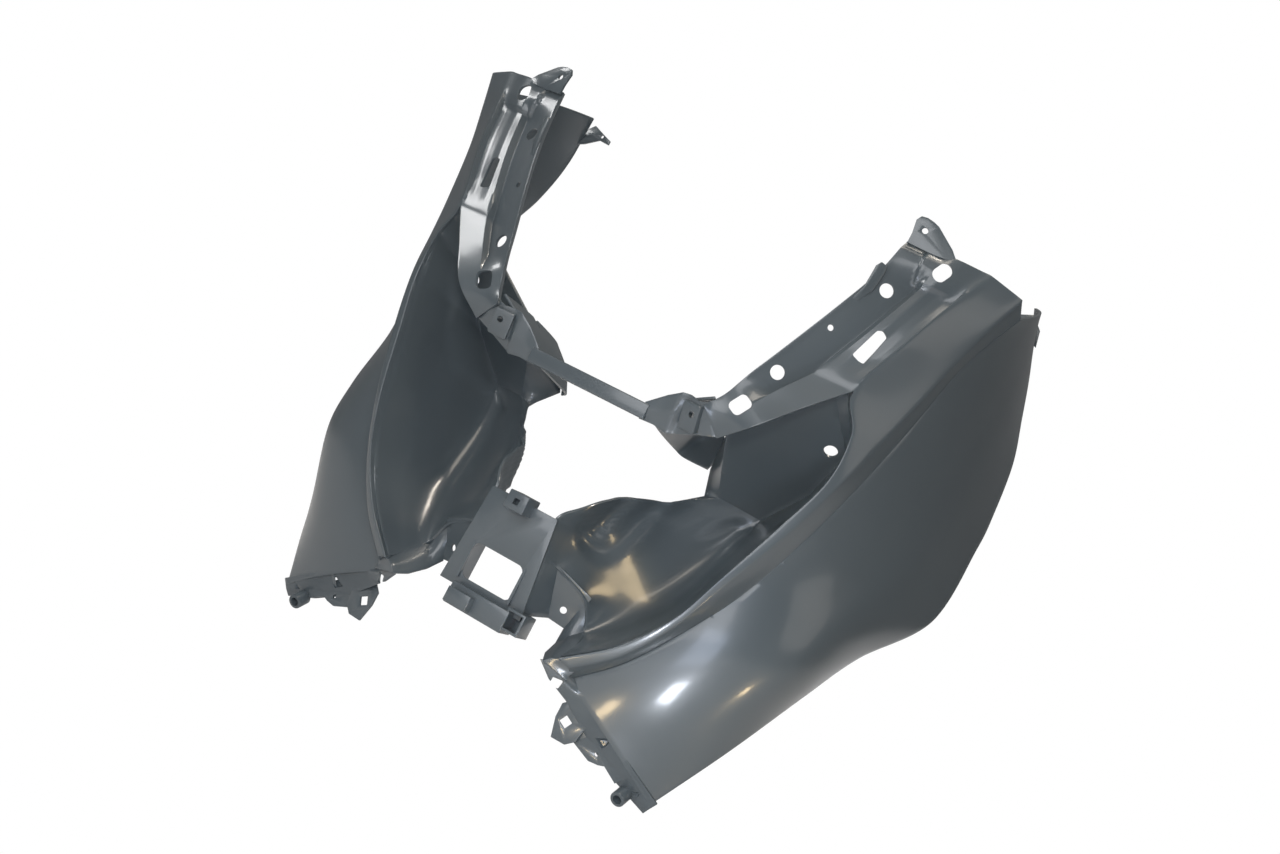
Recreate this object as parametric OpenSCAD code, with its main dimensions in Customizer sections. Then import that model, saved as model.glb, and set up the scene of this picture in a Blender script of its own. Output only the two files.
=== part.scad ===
/* [Overall size] */
// Width across the two wings
shield_width = 700; // [640:2:760]
// Height from the lower bosses to the wing tips
shield_height = 620; // [570:2:670]
// Depth from the centre clip to the rear edges of the wings
shield_depth = 336; // [300:2:370]

/* [Wall] */
// Thickness of the moulded wall
wall = 2.6; // [2:0.1:3.6]
// Depth of the turned edge round each recess
lip_turn = 5; // [4:0.5:8]
// Crown of the lip band between the recess and the wing
lip_crown = 2; // [0:0.5:4]

/* [Wings] */
// Height of the soft ridge along each wing
ridge_h = 4; // [0:0.5:8]

/* [Arms] */
// Depth of the valley pressed along each arm
valley_depth = 10; // [4:1:14]
// Diameter of the two round holes in each arm
arm_hole_d = 14; // [10:0.5:18]
// Diameter of the small drain hole in each arm
drain_hole_d = 6; // [4:0.5:9]
// Width of the oblong hole at the top of each arm
top_slot_w = 14; // [10:0.5:17]
// Length of the oblong hole at the top of each arm
top_slot_l = 20; // [18:0.5:24]
// Diameter of the hole in the pad at the foot of each arm
pad_hole_d = 6; // [4:0.5:9]

// Diameter of the hole in the tab above each arm
tab_hole_d = 6; // [4:0.5:9]
// Length of the slot in the foot of each arm
foot_slot_l = 20; // [16:0.5:22]
// Width of the slot in the foot of each arm
foot_slot_w = 14; // [10:0.5:15]

/* [Strap] */
// Height of the strap that joins the arms
strap_h = 15; // [10:0.5:20]
// Depth of the channel formed by the strap
strap_d = 8; // [6:0.5:12]

/* [Recesses] */
// Diameter of the hole in the back plate of each recess
recess_hole_d = 14; // [10:0.5:18]
// Depth of the round lobe sunk into the floor of each recess
lobe_depth = 9; // [0:1:14]

/* [Bridge] */
// Width of the rounded window in the bridge
window_w = 58; // [44:1:62]
// Height of the rounded window in the bridge
window_h = 36; // [26:1:42]
// Corner radius of the window
window_r = 7; // [3:0.5:12]
// Width of the centre clip tower
clip_w = 22; // [18:0.5:28]
// Height of the centre clip tower
clip_h = 18; // [14:0.5:22]
// Height of the window above the foot of the bridge
window_above = 10; // [8:0.5:16]
// Square hole in the centre clip tower
clip_hole = 6; // [4:0.5:8]
// Diameter of the screw hole beside the bridge
screw_hole_d = 7; // [4:0.5:8]

/* [Lower fixings] */
// Outer diameter of each screw boss
boss_d = 15; // [12:0.5:18]
// Bore of each screw boss
boss_bore_d = 9; // [6:0.5:10]
// Length of each screw boss
boss_l = 16; // [12:0.5:24]
// Width of each snap slot in the lower flange
snap_w = 11; // [8:0.5:14]
// Height of each snap slot in the lower flange
snap_h = 7; // [5:0.5:9]

// Side of the square hole in the lower tab
nut_hole = 9; // [6:0.5:11]
// Diameter of the small holes in the lower and rear tabs
small_hole_d = 4; // [3:0.5:6]

/* [Hidden] */

// Guide points are written for the right half in millimetres from the line
// between the two lower bosses, with X outwards, Y to the rear and Z up
guide_width = 700;
guide_height = 620;
guide_depth = 336;
function at(p) = [
    p[0] * shield_width / guide_width,
    p[1] * shield_depth / guide_depth,
    p[2] * shield_height / guide_height
];

// Outer wing, from its lower end to its top: the edge of the recess and arm,
// the crest of the lip, the root and belly of the wing, and its free edge
rim_line = [[104, -59, 88], [148, -50, 125], [181, -46, 171], [202, -44, 222], [225, -32, 289],
    [243, -24, 348], [243, -26, 395], [229, -36, 430], [250, -23, 496], [264, -6, 543], [279, 14, 588]];
crest_line = [[114, -48, 84], [151, -42, 117], [182, -39, 163], [208, -36, 222], [234, -24, 289],
    [252, -13, 348], [262, 0, 395], [271, 11, 435], [285, 24, 496], [298, 30, 543], [311, 37, 582]];
root_line = [[114, -36, 72], [155, -33, 112], [193, -27, 168], [222, -17, 222], [245, -8, 285],
    [262, 5, 348], [273, 16, 400], [280, 26, 440], [290, 35, 496], [303, 43, 535], [316, 50, 568]];
belly_line = [[172, -29, 42], [236, -22, 84], [296, -8, 162], [305, 15, 218], [306, 62, 283],
    [318, 90, 356], [322, 105, 410], [322, 115, 450], [325, 130, 505], [324, 132, 552], [322, 135, 600]];
edge_line = [[226, 8, 5], [262, 37, 82], [290, 80, 156], [311, 122, 213], [346, 188, 279],
    [345, 228, 366], [341, 240, 408], [333, 250, 464], [318, 259, 512], [303, 254, 563], [285, 226, 620]];
// Share of the wing's width at which its ridge lies, foot and top
ridge_place = [0.56, 0.84];
// Share of the wing's width that the ridge takes on either side
ridge_reach = 0.3;
// Share of the rim line at which the recess ends and the arm begins
arm_start = 0.7;

// Arm, from its foot to its top: the inner edge, and the edge over the recess
arm_inner = [[119, -72, 356], [130, -64, 374], [141, -60, 402], [152, -52, 430], [176, -36, 492],
    [192, -21, 541], [198, -13, 572]];
arm_under = [[140, -57, 334], [170, -68, 358], [199, -54, 394], [229, -36, 430]];
// Share of the arm that hangs over the recess
arm_low = 0.5;
// Valley across the arm: place across it and share of the valley depth
valley_profile = [[0, 0], [0.08, 0.18], [0.19, 0.4], [0.32, 0.68], [0.46, 1], [0.54, 0.35], [0.64, 0.35],
    [0.76, 0.55], [0.88, 0.65], [0.97, 0.6]];
// Turned edge on the inner side of the arm
arm_return = [2, 10, 0];

// Recess, from its foot to the arm: share of the rim line, then five points
// from the free edge of the floor out towards the rim
recess_rows = [
    [0.00, [42, -52, 158], [52, -34, 157], [83, -17, 143], [95, -12, 117], [101, -34, 100]],
    [0.10, [36, -57, 196], [54, -12, 188], [86, 16, 168], [120, 20, 150], [139, -14, 136]],
    [0.20, [48, -45, 217], [64, 0, 208], [96, 40, 196], [140, 48, 184], [168, 2, 178]],
    [0.30, [66, -8, 243], [82, 38, 240], [112, 66, 236], [152, 76, 231], [184, 16, 227]],
    [0.38, [92, 44, 263], [106, 64, 266], [130, 80, 268], [160, 92, 270], [197, 28, 272]],
    [0.41, [109, 74, 284], [122, 76, 289], [144, 88, 289], [165, 98, 288], [204, 33, 292]],
    [0.50, [94, 95, 311], [120, 48, 318], [160, 63, 322], [204, 76, 332], [228, 26, 342]],
    [0.60, [98, 80, 332], [119, 28, 338], [174, 37, 354], [230, 41, 378], [238, 8, 387]],
    [0.70, [108, 50, 356], [121, 5, 361], [166, -3, 392], [206, -15, 424], [220, -22, 428]]
];
// Share of the recess above which it is a flat plate with sharp folds
flat_from = 0.5;
// Share of the recess over which the folds grow sharp
flat_ease = 0.125;
// Extra depth of the recess where it passes behind the arm
tuck = 10;
// Share of the recess above which it draws back
tuck_from = 0.8;
lobe_centre = [68, -5, 212];
lobe_r = 38;

// Wall from the arm back to the rear of the recess, lower edge first
inner_wall = [
    [[70, -56, 324], [67, -4, 317], [68, 48, 311], [76, 62, 308], [92, 95, 309]],
    [[96, -60, 350], [88, -5, 343], [82, 46, 334], [86, 64, 328], [96, 92, 320]],
    [[123, -62, 366], [112, -12, 362], [102, 36, 354], [102, 54, 348], [104, 70, 342]]
];

// Bracket between the strap and the foot of the arm, lower edge first
strap_bracket = [
    [[62, -57, 318], [78, -58, 319], [92, -56, 317], [99, -53, 320], [122, -56, 329], [139, -55, 335],
        [146, -50, 341]],
    [[62, -61, 327], [79, -61, 333], [93, -63, 337], [99, -59, 340], [116, -63, 341], [129, -63, 346],
        [138, -56, 351]],
    [[62, -61, 335], [80, -63, 350], [93, -66, 358], [101, -65, 359], [112, -68, 357], [120, -68, 359],
        [128, -62, 364]]
];

// Face with the screw hole beside the bridge, lower edge first
screw_face = [
    [[44, -49, 102], [56, -10, 110], [78, -6, 108]],
    [[43, -51, 132], [53, -23, 136], [82, -8, 126]],
    [[41, -52, 163], [50, -34, 161], [88, -14, 147]]
];
// Wall that closes the foot of the recess, lower edge first
end_wall = [
    [[73, -6, 107], [78, -20, 94], [82, -42, 84], [90, -58, 78], [116, -46, 72]],
    [[78, -9, 126], [86, -16, 106], [91, -40, 92], [96, -57, 84], [116, -45, 77]],
    [[84, -14, 149], [97, -6, 119], [103, -34, 101], [106, -54, 88], [118, -44, 82]]
];
// Flange below the wing, outer edge first
lower_flange = [
    [[88, -58, 78], [100, -47, 65], [118, -28, 53], [150, -8, 28], [186, 2, 8], [222, 14, -6]],
    [[99, -51, 82], [113, -40, 69], [130, -27, 58], [160, -14, 37], [194, -6, 19], [226, 10, 0]],
    [[115, -32, 77], [126, -29, 70], [142, -26, 61], [170, -20, 47], [202, -9, 27], [232, 8, 9]]
];

// Named places of the holes and fixings
clip_place = [0, -77, 196];
boss_place = [200, 0, 0];
top_slot_place = [240, 0, 568];
arm_hole_places = [[207, -17, 530], [160, -49, 414]];
drain_hole_place = [181, -35, 474];
key_slot_place = [220, -27, 474];
foot_slot_place = [148, -64, 371];
pad_hole_place = [111, -66, 343];
recess_hole_place = [215, 35, 376];
screw_hole_place = [65, -7, 124];
wall_hole_place = [108, -5, 362];
snap_places = [[107, -43, 66], [164, -16, 36], [212, -3, 9]];
// Two corners each of the channel, the pocket and the hook at the bridge's foot
foot_channel = [[-27, -62, 80], [40, -38, 102]];
foot_pocket = [[36, -61, 84], [57, -36, 106]];
foot_hook = [[-23, -73, 82], [3, -60, 97]];
// Outline of the long key slot in the plane of the arm
key_slot = [[-11, -14], [-3, -17], [2, -17], [6, -4], [11, 15], [5, 19], [0, 17]];
// Tabs in the plane of the drawing, X and Z
top_tab = [[200, 560], [201, 583], [199, 603], [208, 609], [221, 606], [242, 592], [252, 578], [246, 560]];
top_tab_hole = [211, 597];
arm_ledge = [[184, 508], [189, 524], [190, 546], [193, 551], [199, 550], [200, 542], [198, 524], [190, 508]];
rear_tab = [[300, 584], [296, 602], [283, 615], [268, 609], [257, 605], [257, 600], [270, 601], [286, 590]];
rear_tab_hole = [269, 606];
side_tab = [[118, 16], [113, 35], [113, 49], [124, 59], [150, 52], [143, 36], [141, 23], [133, 16]];
side_tab_hole = [124, 35];
small_tab = [[136, 22], [158, 13], [168, 14], [174, 16], [190, 7], [197, 16], [168, 38], [144, 46]];
small_tab_hole = [162, 22];

// Turn of the arms about the vertical
arm_turn = 28;
// Lean of the bosses below the horizontal
boss_lean = 30;
// Length of a cutter that passes right through a wall
cutter = 24;
// Cells of the moulded shell: along the recess, the hanging part of the arm
// and the upper arm, then across the inner forms and the wing
recess_cells = 16;
foot_cells = 5;
upper_cells = 8;
inner_cols = 11;
wing_cols = 6;

function extended(line, i) =
    i < 0 ? 2 * line[0] - line[1] :
    i >= len(line) ? 2 * line[len(line) - 1] - line[len(line) - 2] : line[i];
function curve4(a, b, c, d, t) =
    0.5 * (2 * b + (c - a) * t + (2 * a - 5 * b + 4 * c - d) * t * t + (3 * b - a - 3 * c + d) * t * t * t);
// Point on the smooth curve through a line of guides, s from 0 to 1
function along(line, s) =
    let(x = min(max(s, 0), 1) * (len(line) - 1), i = min(floor(x), len(line) - 2))
    curve4(extended(line, i - 1), line[i], line[i + 1], extended(line, i + 2), x - i);
// Point on the straight lines through a line of guides, s from 0 to 1
function folded(line, s) =
    let(x = min(max(s, 0), 1) * (len(line) - 1), i = min(floor(x), len(line) - 2))
    mix(line[i], line[i + 1], x - i);
function mix(a, b, t) = a * (1 - t) + b * t;
function bezier(a, b, c, t) = a * (1 - t) * (1 - t) + b * 2 * t * (1 - t) + c * t * t;
function unit(v) = v / norm(v);
function column(grid, j) = [for (row = grid) row[j]];
function smooth(t) = let(x = min(max(t, 0), 1)) x * x * (3 - 2 * x);

// Rise of the ridge at share s of the wing's length and t of its width
function ridge(s, t) =
    let(away = abs(t - mix(ridge_place[0], ridge_place[1], s)) / ridge_reach)
    max(0, 1 - away) * smooth(s / ridge_reach) * smooth((1 - s) / ridge_reach) * (1 - t);
function wing_part(s) =
    let(
        rim = at(along(rim_line, s)),
        crest = at(along(crest_line, s)),
        root = at(along(root_line, s)),
        belly = at(along(belly_line, s)),
        edge = at(along(edge_line, s)),
        crown = [0, -lip_crown, 0],
        groove = [0, lip_crown / 2, 0]
    ) concat(
        [rim, mix(rim, crest, 1 / 3) + crown, mix(rim, crest, 2 / 3) + crown, crest],
        [mix(crest, root, 1 / 2) + groove],
        [for (k = [0:wing_cols]) let(t = k / wing_cols)
            bezier(root, belly, edge, t) + ridge_h * ridge(s, t) * [0.8, -0.6, 0]]
    );

// Section of the recess, u from 0 at its foot to 1 behind the arm
function rim_share(u) = along(column(recess_rows, 0), u);
function lobe(p) =
    let(d = norm(p - at(lobe_centre)) / lobe_r) p + [0, lobe_depth * smooth((1 - d) * 2), 0];
function recess_guide(j, u) =
    let(line = column(recess_rows, j)) u > flat_from ? folded(line, u) : along(line, u);
function recess_part(u) =
    let(
        rim = along(rim_line, rim_share(u)),
        guides = concat([for (j = [1:5]) recess_guide(j, u)], [rim]),
        flat = smooth((u - flat_from) / flat_ease),
        turn = [-1, lip_turn + tuck * smooth((u - tuck_from) / (1 - tuck_from)), 0]
    ) concat(
        [for (k = [0:inner_cols - 2]) let(t = k / (inner_cols - 1))
            lobe(at(mix(along(guides, t), folded(guides, t), flat)))],
        [at(rim) + turn]
    );

// Section of the arm, q from 0 at its foot to 1 at its top
function arm_edge(q) =
    q < arm_low ? at(along(arm_under, q / arm_low)) :
    at(along(rim_line, mix(arm_start, 1, (q - arm_low) / (1 - arm_low))));
// Share of the valley depth at place q along the arm
function valley_reach(q) = smooth((q - 0.22) / 0.12) * smooth((0.93 - q) / 0.1);
// The outer half of the valley stays shallow over the recess
function outer_reach(q, across) = across < 0.5 ? 1 : smooth((q - arm_low) / 0.1);
function arm_part(q) =
    let(inner = at(along(arm_inner, q)), outer = arm_edge(q))
    concat(
        [inner + arm_return],
        [for (v = valley_profile) mix(inner, outer, v[0]) +
            [0, v[1] * valley_depth * valley_reach(q) * outer_reach(q, v[0]), 0]]
    );

// All rows of the shell: the recess with its wing, the hanging part of the
// arm, and the upper arm with its wing
function shell_rows() = concat(
    [for (i = [0:recess_cells]) let(u = i / recess_cells) concat(recess_part(u), wing_part(rim_share(u)))],
    [for (i = [0:foot_cells - 1]) let(q = arm_low * i / foot_cells)
        concat(arm_part(q), [for (p = wing_part(0)) arm_edge(q)])],
    [for (i = [0:upper_cells]) let(t = i / upper_cells)
        concat(arm_part(mix(arm_low, 1, t)), wing_part(mix(arm_start, 1, t)))]
);

// Shell of the recess, arm and wing in one piece, one wall thick. The arm
// leaves the rim at the seam, where the recess passes behind it
module shell() {
    rows = shell_rows();
    m = len(rows[0]);
    seam = recess_cells;
    foot = seam + 1;
    upper = foot + foot_cells;
    last = upper + upper_cells;
    rim = inner_cols;
    function spare(i, j) = j > rim && i >= foot && i < upper || j >= rim && i == upper;
    function next_row(i, j) = i == seam ? (j < rim ? i : upper + 1) : min(i + 1, last);
    function last_row(i) = i == 0 || i == foot ? i : i - 1;
    function widest(i) = i >= foot && i < upper ? rim : m - 1;
    function behind(i, j) =
        let(
            up = rows[next_row(i, j)][j] - rows[last_row(i)][j],
            out = rows[i][min(j + 1, widest(i))] - rows[i][max(j - 1, 0)]
        ) rows[i][j] + wall * unit(cross(up, out));
    front = [for (row = rows, p = row) p];
    back = [for (i = [0:last], j = [0:m - 1]) spare(i, j) ? rows[i][j] : behind(i, j)];
    k = len(front);
    // Upper rows share their wing points with the seam
    function v(i, j) = (i == upper && j >= rim ? seam : i) * m + j;
    blocks = [[0, seam, m - 1], [foot, upper, rim], [upper, last, m - 1]];
    cells = [
        for (b = blocks, i = [b[0]:b[1] - 1], j = [0:b[2] - 1])
            [v(i, j), v(i, j + 1), v(i + 1, j), v(i + 1, j + 1)]
    ];
    sides = concat(
        [for (i = [0:last - 1]) if (i != seam) [v(i, 0), v(i + 1, 0)]],
        [for (b = blocks, i = [b[0]:b[1] - 1]) [v(i + 1, b[2]), v(i, b[2])]],
        [for (j = [0:rim - 1]) [v(seam, j), v(seam, j + 1)]],
        [for (j = [0:m - 2]) [v(last, j), v(last, j + 1)]],
        [for (j = [0:m - 2]) [v(0, j + 1), v(0, j)]],
        [for (j = [0:rim - 1]) [v(foot, j + 1), v(foot, j)]]
    );
    polyhedron(concat(front, back), concat(
        [for (c = cells) each [[c[0], c[2], c[1]], [c[1], c[2], c[3]]]],
        [for (c = cells) each [[c[0] + k, c[1] + k, c[2] + k], [c[1] + k, c[3] + k, c[2] + k]]],
        [for (s = sides) each [[s[1], s[0], s[0] + k], [s[1], s[0] + k, s[1] + k]]]
    ), convexity = 10);
}

// Sheet one wall thick behind a coarse grid of guides, with smooth curves or
// sharp folds between them
module sheet(guides, rows, cols, sharp = false) {
    function through(line, s) = sharp ? folded(line, s) : along(line, s);
    g = [
        for (i = [0:rows])
            let(line = [for (j = [0:len(guides[0]) - 1]) through(column(guides, j), i / rows)])
            [for (k = [0:cols]) at(through(line, k / cols))]
    ];
    m = cols + 1;
    function behind(i, j) =
        let(
            up = g[min(i + 1, rows)][j] - g[max(i - 1, 0)][j],
            out = g[i][min(j + 1, cols)] - g[i][max(j - 1, 0)]
        ) g[i][j] + wall * unit(cross(up, out));
    front = [for (row = g, p = row) p];
    back = [for (i = [0:rows], j = [0:cols]) behind(i, j)];
    k = len(front);
    cells = [
        for (i = [0:rows - 1], j = [0:cols - 1])
            [i * m + j, i * m + j + 1, i * m + m + j, i * m + m + j + 1]
    ];
    sides = concat(
        [for (i = [0:rows - 1]) [i * m, i * m + m]],
        [for (i = [0:rows - 1]) [i * m + m + cols, i * m + cols]],
        [for (j = [0:cols - 1]) [rows * m + j, rows * m + j + 1]],
        [for (j = [0:cols - 1]) [j + 1, j]]
    );
    polyhedron(concat(front, back), concat(
        [for (c = cells) each [[c[0], c[2], c[1]], [c[1], c[2], c[3]]]],
        [for (c = cells) each [[c[0] + k, c[1] + k, c[2] + k], [c[1] + k, c[3] + k, c[2] + k]]],
        [for (s = sides) each [[s[1], s[0], s[0] + k], [s[1], s[0] + k, s[1] + k]]]
    ), convexity = 10);
}

module rounded_box(size, r) {
    linear_extrude(size[2], center = true)
        offset(r, $fn = 16) square([size[0] - 2 * r, size[1] - 2 * r], center = true);
}

// Channel that joins the feet of the two arms
module strap() {
    half = at([68, 0, 0])[0];
    translate(at([0, -62, 326.5]))
        difference() {
            translate([-half, 0, -strap_h / 2]) cube([2 * half, strap_d, strap_h]);
            translate([-half - 1, wall, -strap_h / 2 + wall])
                cube([2 * half + 2, strap_d, strap_h - 2 * wall]);
        }
}

// Plate between the two recesses, leaning back to its foot
module bridge() {
    top = at([38, -58.5, 199]);
    foot = at([48, -49.5, 98]);
    lean = atan((foot[1] - top[1]) / (top[2] - foot[2]));
    difference() {
        translate([0, foot[1], foot[2]])
            rotate([90 + lean, 0, 0])
            translate([0, 0, -wall])
            linear_extrude(wall)
            polygon([[-foot[0], 0], [foot[0], 0], [top[0], top[2] - foot[2]], [-top[0], top[2] - foot[2]]]);
        translate([0, foot[1], foot[2] + window_h / 2 + window_above])
            rotate([90, 0, 0])
            rounded_box([window_w, window_h, 2 * cutter], window_r);
    }
}

module clip_tower() {
    place = at(clip_place);
    depth = at([0, -50, 0])[1] - place[1];
    translate(place)
        difference() {
            translate([-clip_w / 2, 0, -clip_h / 2]) cube([clip_w, depth, clip_h]);
            translate([-clip_w / 2 + wall, wall, -clip_h / 2 - 1])
                cube([clip_w - 2 * wall, depth, clip_h + 1 - wall]);
            cube([clip_hole, cutter / 2, clip_hole], center = true);
        }
}

// Box between two guide points, hollowed a wall inside on the sides that stay
module hollow_box(low, high, open_side) {
    size = at(high) - at(low);
    out = [for (i = [0:2]) open_side[i] * wall * 2];
    translate(at(low))
        difference() {
            cube(size);
            translate([wall, wall, wall] + [for (v = out) min(v, 0)])
                cube(size - 2 * [wall, wall, wall] + [for (v = out) abs(v)]);
        }
}

// Rib behind each side of the window
module window_rib() {
    low = at([0, -54, 106]);
    high = at([0, -29, 144]);
    translate([window_w / 2, low[1], low[2]]) cube([wall, high[1] - low[1], high[2] - low[2]]);
}

// Channel along the foot of the bridge, with a pocket open to the front at one
// end and a hook at the other
module bridge_foot() {
    hollow_box(foot_channel[0], foot_channel[1], [0, 0, -1]);
    hollow_box(foot_pocket[0], foot_pocket[1], [0, -1, 0]);
    hollow_box(foot_hook[0], foot_hook[1], [0, 0, -1]);
}

// Flat tab drawn in X and Z, at depth y and turned about the vertical, with
// the outline of its hole as child
module tab(outline, hole, y, turn = 0) {
    pivot = [at([outline[0][0], 0, 0])[0], at([0, y, 0])[1], 0];
    function flat(p) = let(a = at([p[0], 0, p[1]])) [a[0] - pivot[0], a[2]];
    translate(pivot)
        rotate([90, 0, turn])
        linear_extrude(wall, center = true)
        difference() {
            polygon([for (p = outline) flat(p)]);
            translate(flat(hole)) children();
        }
}

// Tube below the wing that takes a screw
module boss(d, length) {
    translate(at(boss_place))
        rotate([90 + boss_lean, 0, 0])
        cylinder(d = d, h = length, center = true, $fn = 24);
}

// Forms of the right half that repeat on the left
module half_skin() {
    shell();
    sheet(inner_wall, 4, 6);
    sheet(strap_bracket, 2, 6, true);
    sheet(screw_face, 2, 2, true);
    sheet(end_wall, 2, 4, true);
    sheet(lower_flange, 2, 5, true);
    boss(boss_d, boss_l);
    tab(top_tab, top_tab_hole, -15, 14) circle(d = tab_hole_d, $fn = 16);
    tab(rear_tab, rear_tab_hole, 239) circle(d = small_hole_d, $fn = 12);
    tab(side_tab, side_tab_hole, -19, 10) rotate(-arm_turn) square(nut_hole, center = true);
    tab(small_tab, small_tab_hole, -11, 10) circle(d = small_hole_d, $fn = 12);
    window_rib();
    tab(arm_ledge, arm_ledge[0], -29, arm_turn);
}

// Openings of the right half that aren't round bores
module half_cutters() {
    translate(at(top_slot_place))
        rotate([90, 0, arm_turn])
        rotate(-28)
        rounded_box([top_slot_w, top_slot_l, cutter], top_slot_w / 2 - 0.5);
    translate(at(key_slot_place))
        rotate([90, 0, arm_turn])
        linear_extrude(cutter, center = true)
        offset(2, $fn = 16)
        offset(-2)
        polygon(key_slot);
    translate(at(foot_slot_place))
        rotate([90, 0, arm_turn])
        rotate(-30)
        rounded_box([foot_slot_w, foot_slot_l, cutter], foot_slot_w / 2 - 2);
    translate(at(drain_hole_place))
        rotate([90, 0, arm_turn])
        cylinder(d = drain_hole_d, h = cutter, center = true, $fn = 16);
    translate(at(pad_hole_place))
        rotate([90, 0, 0])
        cylinder(d = pad_hole_d, h = cutter, center = true, $fn = 16);
    translate(at(recess_hole_place))
        rotate([134, 0, 25])
        cylinder(d = recess_hole_d, h = cutter, center = true, $fn = 24);
    translate(at(screw_hole_place))
        rotate([90, 0, 20])
        cylinder(d = screw_hole_d, h = cutter, center = true, $fn = 16);
    translate(at(wall_hole_place))
        rotate([0, 90, 0])
        cylinder(d = 14, h = cutter, center = true, $fn = 3);
    for (p = snap_places)
        translate(at(p))
            rotate([60, 0, 40])
            rounded_box([snap_w, snap_h, 14], 1.5);
}

module mirrored() {
    children();
    mirror([1, 0, 0]) children();
}

// The whole moulding before its round bores are drilled
module skin() {
    difference() {
        union() {
            mirrored() half_skin();
            strap();
            bridge();
            clip_tower();
            bridge_foot();
        }
        mirrored() half_cutters();
    }
}

module leg_shield() {
    color("#5d6468")
        translate(-at(clip_place))
        difference() {
            resize([0, 0, 0]) skin();
            mirrored() {
                for (p = arm_hole_places)
                    translate(at(p))
                        rotate([90, 0, arm_turn])
                        cylinder(d = arm_hole_d, h = cutter, center = true, $fn = 48);
                boss(boss_bore_d, boss_l + 2);
            }
        }
}

leg_shield();
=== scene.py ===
# %% [markdown]
# # A scooter's moulded leg shield
# The leg shield is one injection moulding of slate grey plastic, about 700 mm
# wide. Two wings sweep back beside deep recesses, two upright arms carry holes
# and valleys, and a strap and a windowed bridge join the halves.

# %% Load the frame
import bmesh
import bpy
import math
from mathutils import Euler, Matrix, Vector


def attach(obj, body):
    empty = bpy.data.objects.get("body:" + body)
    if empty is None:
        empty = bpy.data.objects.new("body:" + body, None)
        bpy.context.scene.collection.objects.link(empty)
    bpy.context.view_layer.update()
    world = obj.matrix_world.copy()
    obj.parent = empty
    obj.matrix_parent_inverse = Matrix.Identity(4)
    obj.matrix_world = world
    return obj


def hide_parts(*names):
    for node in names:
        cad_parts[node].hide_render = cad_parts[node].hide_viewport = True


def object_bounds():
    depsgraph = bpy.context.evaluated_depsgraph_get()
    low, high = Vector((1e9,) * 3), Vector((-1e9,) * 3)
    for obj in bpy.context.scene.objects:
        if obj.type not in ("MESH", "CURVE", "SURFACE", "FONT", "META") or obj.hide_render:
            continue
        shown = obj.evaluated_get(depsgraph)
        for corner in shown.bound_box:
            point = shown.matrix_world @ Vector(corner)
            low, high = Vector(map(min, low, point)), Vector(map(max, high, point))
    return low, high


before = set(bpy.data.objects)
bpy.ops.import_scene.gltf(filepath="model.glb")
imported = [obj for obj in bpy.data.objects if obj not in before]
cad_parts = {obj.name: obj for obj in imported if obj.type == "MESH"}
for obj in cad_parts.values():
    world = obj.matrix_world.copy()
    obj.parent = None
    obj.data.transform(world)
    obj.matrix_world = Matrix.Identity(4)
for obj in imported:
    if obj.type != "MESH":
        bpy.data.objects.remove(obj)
cad_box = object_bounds()
print("frame nodes:", sorted(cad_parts))

# %% [markdown]
# Guide points are written in millimetres for the right half, from the middle
# between the two lower screw bosses, with X outwards, Y to the rear and Z up.
# The part's own origin is the hole of the centre clip, so one function moves a
# guide point there and turns millimetres into metres.

# %% Frame of the guide points
MM = 0.001
CLIP = Vector((0, -77, 196))
WALL = 2.6


def place(p):
    """A guide point in the part's own frame, in metres."""
    return (Vector(p) - CLIP) * MM


print("boss at", [round(c, 3) for c in place((200, 0, 0))])

# %% [markdown]
# A moulding like this is drawn with a few smooth guide curves, not with
# hundreds of loose points. The curves run from the foot of each form to its
# top. A Catmull-Rom curve passes through its guides, so each guide is a place
# that can be measured on the real part.

# %% Curves through guides


def mix(a, b, t):
    """Value at share t of the way from a to b."""
    return a * (1 - t) + b * t


def smooth(t):
    """Eased step from 0 to 1, level at both ends."""
    x = min(max(t, 0), 1)
    return x * x * (3 - 2 * x)


def guide(p):
    """A guide as a vector, or as the plain number that it is."""
    return Vector(p) if hasattr(p, "__len__") else p


def along(line, s):
    """Point on the smooth curve through a line of guides, s from 0 to 1."""
    points = [guide(p) for p in line]
    x = min(max(s, 0), 1) * (len(points) - 1)
    i = min(int(x), len(points) - 2)
    t = x - i
    b, c = points[i], points[i + 1]
    a = points[i - 1] if i else 2 * b - c
    d = points[i + 2] if i + 2 < len(points) else 2 * c - b
    bend = (2 * a - 5 * b + 4 * c - d) * t * t + (3 * b - a - 3 * c + d) * t ** 3
    return 0.5 * (2 * b + (c - a) * t + bend)


def folded(line, s):
    """Point on the straight lines through the same guides, for sharp folds."""
    x = min(max(s, 0), 1) * (len(line) - 1)
    i = min(int(x), len(line) - 2)
    return mix(guide(line[i]), guide(line[i + 1]), x - i)


def bezier(a, b, c, t):
    """Point on the curve from a to c that leans towards b."""
    return a * (1 - t) ** 2 + b * 2 * t * (1 - t) + c * t * t


print("curve check:", along([0, 1, 4, 9], 0.5))

# %% [markdown]
# The wing starts at the rim of the recess, rises over a narrow lip to its
# crest, drops into a groove and then sweeps out over its belly to the free
# edge at the rear. Five long curves hold all of that.

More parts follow.
